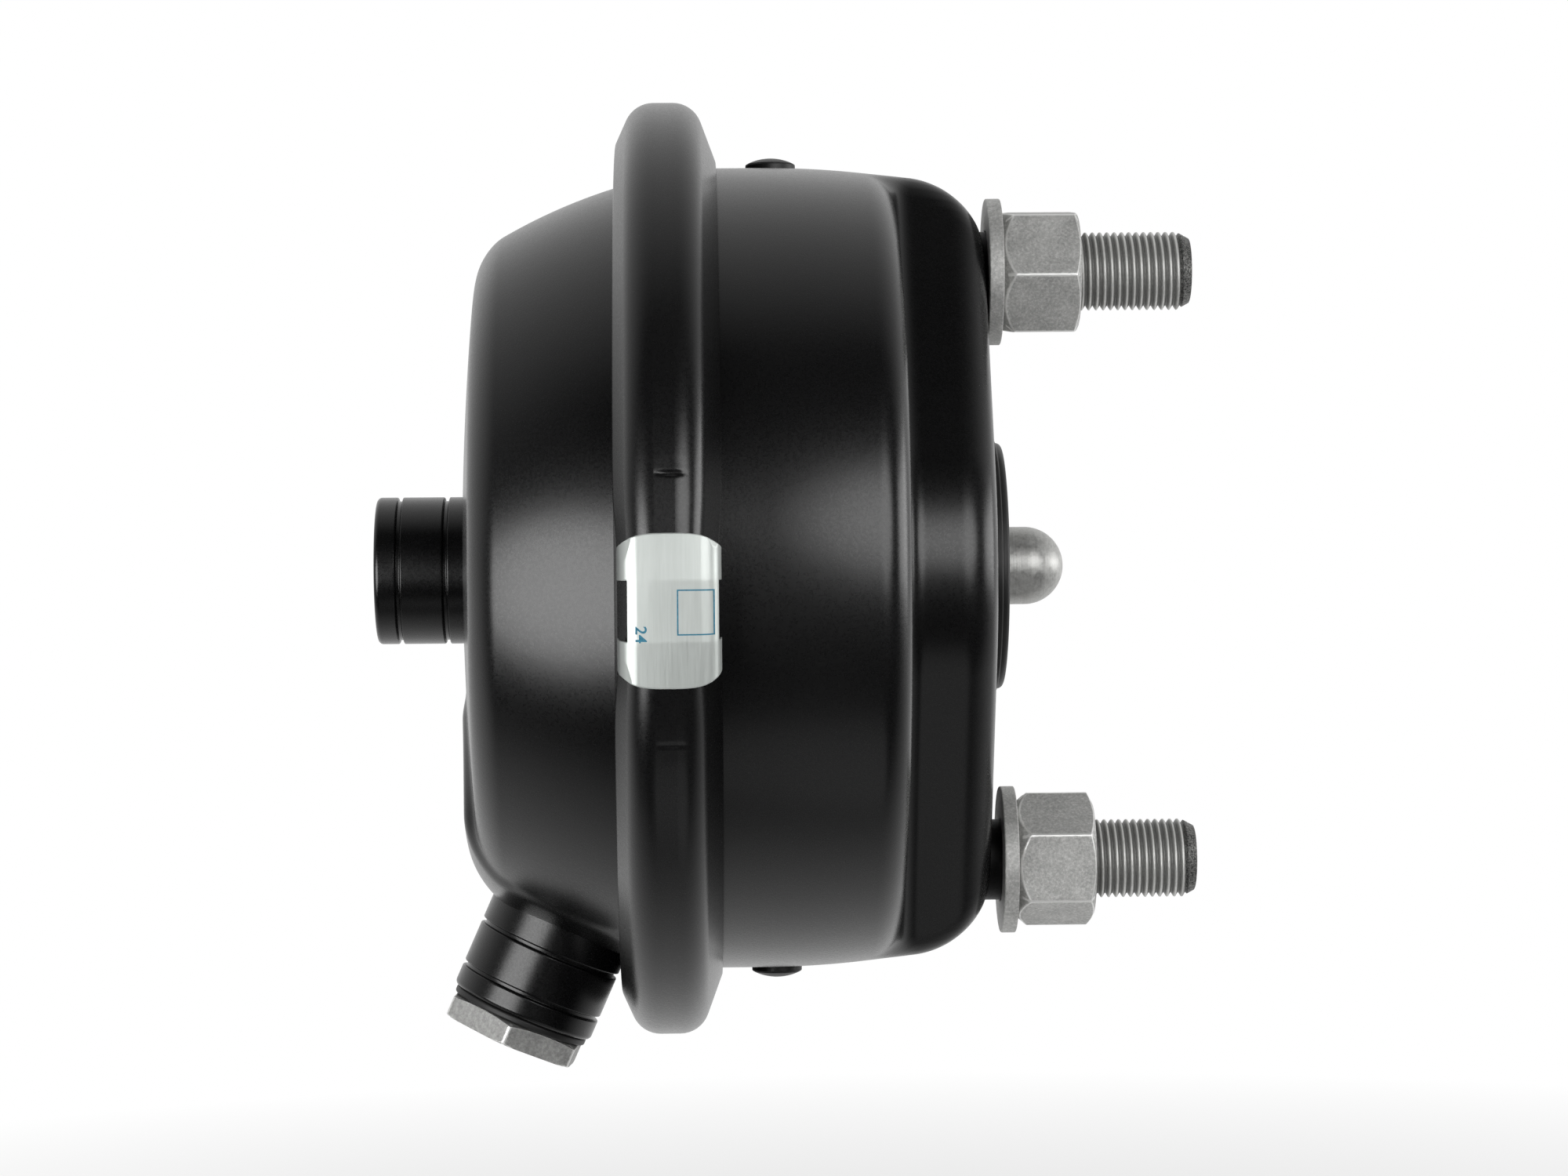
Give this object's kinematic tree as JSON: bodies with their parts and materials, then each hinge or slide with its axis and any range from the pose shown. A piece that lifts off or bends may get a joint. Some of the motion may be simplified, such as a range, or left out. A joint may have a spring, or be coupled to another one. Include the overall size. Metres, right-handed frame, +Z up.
{
  "type": "air brake chamber",
  "caption": "Diaphragm air brake chamber with a clamped cap, raised mounting flange, threaded studs, plugged side port and a sprung push rod.",
  "frame": {"origin": "Chamber axis in the plane of the mounting face, which is also the foot of the sealing ring.", "axes": "+X along the chamber axis towards the push rod's tip, +Z up through the upper stud, +Y away from the side that carries the bright clip. The part is drawn with its axis level and its studs one above the other."},
  "size_m": [0.1668, 0.1903, 0.1966],
  "materials": {
    "black_paint": "satin",
    "ring_paint": "satin",
    "zinc": "zinc plated, matt",
    "steel": "plain pressed steel",
    "rod_steel": "turned",
    "bright_sheet": "satin sheet",
    "rubber": "moulded",
    "fabric_rubber": "moulded over fabric",
    "spring_steel": "oil dark"
  },
  "bodies": {
    "chamber": {"pressure_housing": "black_paint", "axial_port_boss": "black_paint", "angled_port_boss": "black_paint", "port_plug": "zinc", "port_plug_seal": "rubber", "clamp_ring": "ring_paint", "rating_plate": "bright_sheet", "non_pressure_housing": "black_paint", "vent_plug_upper": "rubber", "vent_plug_lower": "rubber", "stud_plate": "steel", "stud_upper": "zinc", "stud_lower": "zinc", "washer_upper": "zinc", "washer_lower": "zinc", "nut_upper": "zinc", "nut_lower": "zinc", "diaphragm": "fabric_rubber", "return_spring": "spring_steel", "spring_seat": "steel", "sealing_ring": "rubber", "gaiter": "rubber", "gaiter_keeper": "steel"},
    "rod": {"push_rod": "rod_steel", "push_plate": "steel", "gaiter_clip": "zinc"}
  },
  "joints": [
    {"name": "rod_slide", "type": "slide", "parent": "chamber", "child": "rod", "axis": [1, 0, 0], "range_m": [0, 0.057], "stiffness_N_per_m": 1500, "springref_m": -0.09, "deforming": ["return_spring", "diaphragm", "gaiter"]}
  ]
}
